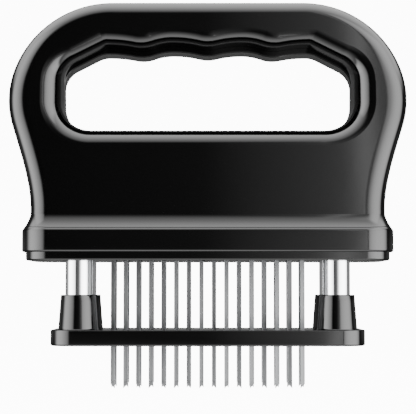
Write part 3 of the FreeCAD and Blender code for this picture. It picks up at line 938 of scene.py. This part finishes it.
# the guard's upper side, its towers' radius there, and how far a skirt reaches into them
GUARD_TOP = 22.8 * MM
TOWER_FOOT_RADIUS = 7.7 * MM
SKIRT_OVERLAP = 0.03 * MM
SKIRT_SUNK_ASIDE = 0.5 * MM
SKIRT_SUNK_DOWN = 0.2 * MM
SKIRT_ROWS = 8


def tower_skirt(settings, place):
    """A hollow quarter round carried round the foot of a tower, and sunk a little into tower and plate."""
    fillet = settings.skirt
    turn = np.linspace(0, math.pi / 2, SKIRT_ROWS)
    radius = TOWER_FOOT_RADIUS - SKIRT_OVERLAP + fillet * (1 - np.sin(turn))
    level = GUARD_TOP + fillet * (1 - np.cos(turn))
    inner, under = TOWER_FOOT_RADIUS - SKIRT_SUNK_ASIDE, GUARD_TOP - SKIRT_SUNK_DOWN
    return revolve(list(zip(radius, level)) + [(inner, level[-1]), (inner, under), (radius[0], under)], place)


class TENDERIZER_OT_guard(bpy.types.Operator):
    """Dresses the sliding guard: its slotted plate with four towers"""

    bl_idname = "tenderizer.guard"
    bl_label = "Guard"

    def execute(self, context):
        settings = context.scene.tenderizer_guard
        material = glossy_black("guard_gloss", settings, peel=0.7)
        add_piece(
            "guard_body", merged_copy("guard_plate"), "guard", material, ["guard_plate"])
        skirts = [tower_skirt(settings, body_axis(f"guide_post_{corner}")) for corner in CORNERS]
        add_piece(
            "guard_tower_skirts", make_mesh("guard_tower_skirts", skirts), "guard", material)
        return {"FINISHED"}


# ---- posts, bushes and springs
class PostSettings(bpy.types.PropertyGroup):
    roughness: FloatProperty(
        name="Chrome roughness", description="How dull the plated posts are",
        default=0.07, min=0.0, max=1.0, subtype="FACTOR")
    wire_radius: FloatProperty(
        name="Wire radius", description="Half the thickness of the return springs' wire",
        default=0.38 * MM, min=0.1 * MM, max=0.4 * MM, unit="LENGTH")
    turns: IntProperty(
        name="Spring turns", description="Turns of each return spring", default=9, min=4, max=20)


# radii and heights of a post and a bush, the wire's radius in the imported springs, and a coil's fineness
POST_BORE = 4.2 * MM
POST_NECK = 4.7 * MM
POST_NECK_HEIGHT = 2.5 * MM
POST_BROKEN_EDGE = 0.12 * MM
BUSH_SLEEVE = 6.25 * MM
BUSH_BORE = 5.05 * MM
BUSH_LEAD_IN = 0.35 * MM
BUSH_FLANGE_HEIGHT = 1.0 * MM
SOLID_WIRE_RADIUS = 0.4 * MM
CLOSED_END_GAP = 0.1 * MM
STEPS_PER_TURN = 36
WIRE_SIDES = 10


def plated_steel(settings):
    """Polished chrome with faint lengthwise draw marks and a trace of handling."""
    material, place = new_material("post_chrome")
    marks = place.stretched((1.0, 1.0, 0.04)).noise(0.3 * MM, detail=2.0)
    haze = place.noise(9 * MM, detail=3.0)
    finish_with(
        place,
        base_color=haze.between((0.80, 0.81, 0.83), (0.88, 0.885, 0.89)),
        metallic=1.0,
        roughness=settings.roughness - 0.03 + 0.04 * haze + 0.03 * marks,
        normal=marks.bump(depth=0.0004 * MM),
    )
    return material


def post_skin(node):
    """A plated tube with broken edges and a thinner neck for its collar: a profile carried round its axis."""
    low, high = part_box(node)
    outer, bore, neck, broken = (high.x - low.x) / 2, POST_BORE, POST_NECK, POST_BROKEN_EDGE
    shoulder = high.z - POST_NECK_HEIGHT
    profile = [
        (bore, low.z), (outer - broken, low.z), (outer, low.z + broken), (outer, shoulder),
        (neck, shoulder), (neck, high.z - broken), (neck - broken, high.z), (bore, high.z)]
    return revolve(profile, body_axis(node))


def bush_skin(node):
    """A flanged sleeve with a lead-in at its lower mouth: a profile carried round its axis."""
    low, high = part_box(node)
    flange, sleeve, bore, mouth = (high.x - low.x) / 2, BUSH_SLEEVE, BUSH_BORE, BUSH_LEAD_IN
    ledge = high.z - BUSH_FLANGE_HEIGHT
    profile = [
        (bore + mouth, low.z), (sleeve - mouth / 2, low.z), (sleeve, low.z + mouth / 2), (sleeve, ledge),
        (flange, ledge), (flange, high.z), (bore, high.z), (bore, low.z + mouth)]
    return revolve(profile, body_axis(node))


def spring_skin(node, settings):
    """A round wire wound into a helix, which rises by one wire in its first and last turn and evenly between.

    A circle of points goes along the helix, turned square to it by the cross product of its way and outward.
    """
    low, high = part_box(node)
    centre_x, centre_y = body_axis(node)
    wire, turns = settings.wire_radius, settings.turns
    coil = (high.x - low.x) / 2 - SOLID_WIRE_RADIUS
    close = 2 * wire + CLOSED_END_GAP
    bottom, top = low.z + wire, high.z - wire
    turn = np.linspace(0, turns, turns * STEPS_PER_TURN + 1)
    level = np.interp(turn, [0, 1, turns - 1, turns], [bottom, bottom + close, top - close, top])
    angle = 2 * math.pi * turn
    outward = np.stack([np.cos(angle), np.sin(angle), np.zeros_like(angle)], axis=-1)
    axis = np.stack([np.full_like(angle, centre_x), np.full_like(angle, centre_y), level], axis=-1)
    line = coil * outward + axis
    along = np.gradient(line, axis=0)
    along /= np.linalg.norm(along, axis=1, keepdims=True)
    upward = np.cross(along, outward)
    around = np.linspace(0, 2 * math.pi, WIRE_SIDES, endpoint=False)
    grid = (
        line[:, None] + wire * np.cos(around)[:, None] * outward[:, None]
        + wire * np.sin(around)[:, None] * upward[:, None])
    return closed_skin(grid)


class TENDERIZER_OT_posts(bpy.types.Operator):
    """Makes the four plated guide posts, their bushes and their return springs"""

    bl_idname = "tenderizer.posts"
    bl_label = "Posts and springs"

    def execute(self, context):
        settings = context.scene.tenderizer_posts
        chrome = plated_steel(settings)
        bush = matte_plastic("bush_plastic", colour=(0.03, 0.03, 0.032), tooth_size=0.5 * MM)
        wire = ground_steel(
            "spring_steel", colour=(0.48, 0.48, 0.49), roughness=0.30,
            stretch=(1.0, 1.0, 1.0), line_size=0.3 * MM, depth=0.002 * MM)
        for corner in CORNERS:
            post, bush_node = f"guide_post_{corner}", f"guide_bush_{corner}"
            add_piece(
                f"plated_post_{corner}", make_mesh(post + "_skin", [post_skin(post)]),
                "guard", chrome, [post])
            add_piece(
                f"bush_{corner}", make_mesh(bush_node + "_skin", [bush_skin(bush_node)]),
                "handle", bush, [bush_node])
            node = f"return_spring_{corner}"
            coil = make_mesh(node + "_skin", [spring_skin(node, settings)], smooth_angle=60.0)
            spring = add_piece(
                f"spring_{corner}", coil, frame["nodes"][node]["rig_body"], wire, [node])
            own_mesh(spring)
        return {"FINISHED"}


# ---- studio
# The tent's light, as tables of (degrees, level). Angles run aside from the front (left is below 0), over the
# top from the front, or up from the level. A light's reach, from 0 to 1, fades it at its ends, and the
# brightest light wins where two meet.
TENT_FULL = 15.0
TENT_CENTRE = (0.0, 0.0, 0.09)
TENT_COLUMNS, TENT_ROWS = 48, 25
SWEEP_ROWS = 24
SIDE_LIGHT = (
    (-104, 0.0), (-95, 1.5), (-88, 5.5), (-82, 8.5), (-75, 9.8), (-67, 9.8), (-60, 9.3), (-53, 8.0),
    (-47, 6.8), (-41, 5.6), (-35, 4.2), (-31, 2.8), (-27, 0.5), (-25, 0.0), (0, 0.12), (5, 0.5),
    (9, 0.75), (12.6, 1.1), (14.6, 5.4), (15.3, 0.7), (17.0, 0.7), (17.8, 3.8), (24, 6.8), (33, 8.8),
    (48, 10.4), (65, 10.2), (76, 8.4), (86, 4.0), (92, 0.0))
SIDE_REACH = ((-35, 0.0), (-22, 1.0), (-4, 1.0), (3, 0.9), (42, 0.9), (62, 0.0))
BACK_LIGHT = (
    (-180, 0.05), (-142, 0.05), (-136, 0.15), (-104, 0.15), (-96, 0.0), (96, 0.0), (104, 0.15),
    (136, 0.15), (142, 0.05), (180, 0.05))
BACK_REACH = ((-14, 0.0), (-10, 1.0), (-4, 1.0), (-1, 0.0))
TOP_LIGHT = (
    (33, 0.0), (37, 0.8), (43, 2.2), (52, 3.4), (61, 5.0), (71, 6.3), (81, 7.0), (93, 6.4),
    (107, 5.4), (126, 2.4), (132, 0.5), (140, 0.0))
TOP_REACH = ((14, 0.0), (30, 1.0))
FLOOR_LIGHT = (
    (-72, 3.7), (-53, 3.4), (-44, 2.5), (-36, 1.7), (-28, 1.1), (-20, 0.5), (-12, 0.12), (-4, 0.0))
FLOOR_REACH = ((-104, 0.0), (-84, 1.0), (84, 1.0), (104, 0.0))
CAMERA_PLACE = (0.0001, -0.585, 0.0379)
CAMERA_AIM = (0.0001, 0.0, 0.0706)


class StudioSettings(bpy.types.PropertyGroup):
    paper: FloatVectorProperty(
        name="Paper", description="Colour of the floor and the sweep behind",
        default=(0.93, 0.93, 0.93), min=0.0, max=1.0, subtype="COLOR")
    glow: FloatProperty(
        name="Paper glow", description="How much light the paper itself gives",
        default=12.0, min=0.0, max=30.0)
    tent_radius: FloatProperty(
        name="Tent radius", description="Radius of the tent of light",
        default=0.45, min=0.3, max=2.0, unit="LENGTH")
    tent_light: FloatProperty(
        name="Tent light", description="Brightness of the tent where it is brightest",
        default=15.0, min=0.0, max=50.0)
    lens: FloatProperty(
        name="Lens", description="Focal length of the camera, in millimetres",
        default=128.9, min=20.0, max=300.0)


def light_tent(settings):
    """A round tent of soft light about the object: side panels, a top panel, a pale floor and a faint back.

    It is a sphere that looks inward. Its brightness depends only on where a point lies on it, and fades
    softly at the panels' edges. The camera and dull surfaces don't see it, and glossy ones mirror it.
    """
    turn = np.linspace(0, 2 * math.pi, TENT_COLUMNS, endpoint=False)
    tilt = np.radians(np.linspace(-89, 89, TENT_ROWS))
    ring = np.cos(tilt)[:, None]
    height = np.broadcast_to(np.sin(tilt)[:, None], (TENT_ROWS, TENT_COLUMNS))
    grid = settings.tent_radius * np.stack([ring * np.cos(turn), ring * np.sin(turn), height], axis=-1)
    points, faces = closed_skin(grid)
    mesh = bpy.data.meshes.new("light_tent")
    mesh.from_pydata(points.tolist(), [], [face for block in faces for face in block[:, ::-1].tolist()])
    material, place = new_material("tent_light")
    x, y, z = [place.node("ShaderNodeSeparateXYZ", inputs={0: place}, output=axis) for axis in range(3)]
    front = y * -1.0
    aside = x.math("ARCTAN2", x, front) * (0.5 / math.pi) + 0.5
    over = z.math("ARCTAN2", z, front) * (0.5 / math.pi) + 0.5
    upward = z.math("ARCSINE", z * (1 / settings.tent_radius)) * (1 / math.pi) + 0.5

    def by_angle(angle, span, table, full=1.0):
        """A table's levels as shares of full, on an angle that runs from 0 to 1 over span degrees."""
        return angle.ramp(*[(0.5 + degrees / span, level / full) for degrees, level in table])

    sides = by_angle(aside, 360, SIDE_LIGHT, TENT_FULL) * by_angle(upward, 180, SIDE_REACH)
    back = by_angle(aside, 360, BACK_LIGHT, TENT_FULL) * by_angle(upward, 180, BACK_REACH)
    top = by_angle(over, 360, TOP_LIGHT, TENT_FULL) * by_angle(upward, 180, TOP_REACH)
    level = by_angle(upward, 180, FLOOR_LIGHT, TENT_FULL) * by_angle(aside, 360, FLOOR_REACH)
    for light in (sides, back, top):
        level = level.math("MAXIMUM", level, light)
    finish_with(
        place,
        base_color=(0.0, 0.0, 0.0, 1.0),
        emission_color=level,
        emission_strength=settings.tent_light,
    )
    mesh.materials.append(material)
    tent = stand("light_tent", mesh)
    tent.location = TENT_CENTRE
    tent.visible_camera = tent.visible_diffuse = False
    return tent


def paper_sweep(settings):
    """The studio floor, carried back flat, up a quarter round and up the wall. Only the camera sees it."""
    radius, back, half_width, wall_top, front = 0.5, 0.9, 2.5, 2.2, -2.2
    turn = np.linspace(0, math.pi / 2, SWEEP_ROWS)
    y = np.concatenate([[front], back - radius + radius * np.sin(turn), [back]])
    z = np.concatenate([[0.0], radius * (1 - np.cos(turn)), [wall_top]])
    x = np.array([-half_width, half_width])
    grid = np.stack([
        np.broadcast_to(x, (len(y), 2)), np.broadcast_to(y[:, None], (len(y), 2)),
        np.broadcast_to(z[:, None], (len(y), 2))], axis=-1)
    cells = grid_cells(len(y), 2, wrap_columns=False)[:, ::-1]
    mesh = bpy.data.meshes.new("paper")
    mesh.from_pydata(grid.reshape(-1, 3).tolist(), [], cells.tolist())
    mesh.polygons.foreach_set("use_smooth", np.ones(len(cells), dtype=bool))
    material, place = new_material("studio_paper")
    tooth = place.noise(0.02, detail=3.0)
    colour = tuple(settings.paper)
    finish_with(
        place,
        base_color=tooth.between(tuple(0.985 * part for part in colour), colour),
        roughness=0.85,
        emission_color=(1.0, 1.0, 1.0, 1.0),
        emission_strength=settings.glow,
    )
    mesh.materials.append(material)
    sweep = stand("studio_paper", mesh)
    sweep.visible_glossy = sweep.visible_diffuse = False
    return sweep


class TENDERIZER_OT_studio(bpy.types.Operator):
    """Sets up the pale floor, the tent of soft light and the camera"""

    bl_idname = "tenderizer.studio"
    bl_label = "Studio"

    def execute(self, context):
        settings = context.scene.tenderizer_studio
        paper_sweep(settings)
        light_tent(settings)
        world = bpy.data.worlds.new("studio_air")
        world.use_nodes = True
        world.node_tree.nodes["Background"].inputs["Strength"].default_value = 0.0
        context.scene.world = world

        data = bpy.data.cameras.new("camera")
        data.sensor_width = 36.0
        data.lens = settings.lens
        data.clip_start, data.clip_end = 0.01, 20.0
        camera = stand("camera", data)
        camera.location = CAMERA_PLACE
        sight = Vector(CAMERA_AIM) - camera.location
        camera.rotation_euler = sight.to_track_quat("-Z", "Y").to_euler()
        context.scene.camera = camera
        return {"FINISHED"}


# ---- panel and registration
OPERATORS = (
    TENDERIZER_OT_studio,
    TENDERIZER_OT_handle,
    TENDERIZER_OT_cover,
    TENDERIZER_OT_carrier,
    TENDERIZER_OT_blades,
    TENDERIZER_OT_guard,
    TENDERIZER_OT_posts,
)
SETTINGS = {
    "tenderizer_handle": HandleSettings,
    "tenderizer_cover": CoverSettings,
    "tenderizer_blades": BladeSettings,
    "tenderizer_guard": GuardSettings,
    "tenderizer_posts": PostSettings,
    "tenderizer_studio": StudioSettings,
}


class VIEW3D_PT_tenderizer(bpy.types.Panel):
    """Sizes and colours of the tenderizer, and a button for each piece"""

    bl_label = "Blade tenderizer"
    bl_idname = "VIEW3D_PT_tenderizer"
    bl_space_type = "VIEW_3D"
    bl_region_type = "UI"
    bl_category = "Tenderizer"

    def draw(self, context):
        for operator in OPERATORS:
            self.layout.operator(operator.bl_idname)
        for name, group in SETTINGS.items():
            box = self.layout.box()
            for setting in group.__annotations__:
                box.prop(getattr(context.scene, name), setting)


def register():
    """Registers the settings, then the operators and the panel."""
    for group in SETTINGS.values():
        bpy.utils.register_class(group)
    for name, group in SETTINGS.items():
        setattr(bpy.types.Scene, name, PointerProperty(type=group))
    for operator in OPERATORS:
        bpy.utils.register_class(operator)
    bpy.utils.register_class(VIEW3D_PT_tenderizer)


def unregister():
    """Takes everything out again in the opposite order."""
    bpy.utils.unregister_class(VIEW3D_PT_tenderizer)
    for operator in reversed(OPERATORS):
        bpy.utils.unregister_class(operator)
    for name in SETTINGS:
        delattr(bpy.types.Scene, name)
    for group in reversed(list(SETTINGS.values())):
        bpy.utils.unregister_class(group)


def main():
    """Registers the add-on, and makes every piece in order."""
    register()
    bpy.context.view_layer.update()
    bpy.ops.tenderizer.studio()
    bpy.ops.tenderizer.handle()
    bpy.ops.tenderizer.cover()
    bpy.ops.tenderizer.carrier()
    bpy.ops.tenderizer.blades()
    bpy.ops.tenderizer.guard()
    bpy.ops.tenderizer.posts()


if __name__ == "__main__":
    main()
